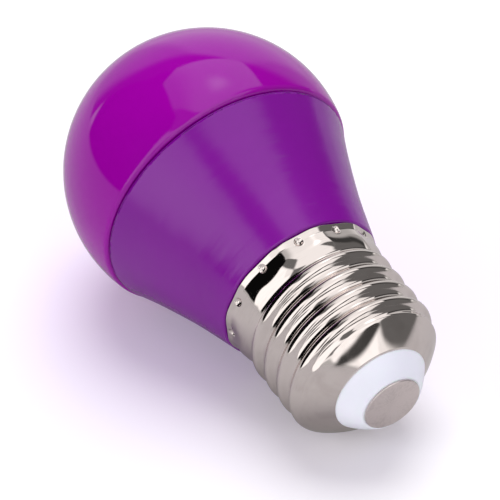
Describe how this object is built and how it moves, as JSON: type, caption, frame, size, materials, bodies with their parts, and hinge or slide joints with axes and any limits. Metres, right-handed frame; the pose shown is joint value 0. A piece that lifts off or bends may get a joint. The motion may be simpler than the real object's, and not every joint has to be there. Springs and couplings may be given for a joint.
{
  "type": "globe LED lamp",
  "caption": "Small purple globe lamp: a glossy ball diffuser on a flared housing, with a nickel screw cap, white insulator and flat centre contact.",
  "frame": {"origin": "centre of the flat face of the centre contact, the lowest point of the lamp", "axes": "+Z along the lamp's axis from the contact to the globe; -Y is the side that the picture shows"},
  "size_m": [0.045, 0.045, 0.077],
  "materials": {
    "diffuser_plastic": "gloss",
    "housing_plastic": "satin",
    "plated_sheet": "polished nickel",
    "white_plastic": "satin",
    "contact_metal": "dull"
  },
  "bodies": {
    "root": {"diffuser_globe": "diffuser_plastic", "housing": "housing_plastic", "screw_shell": "plated_sheet", "insulator": "white_plastic", "centre_contact": "contact_metal"}
  },
  "joints": []
}
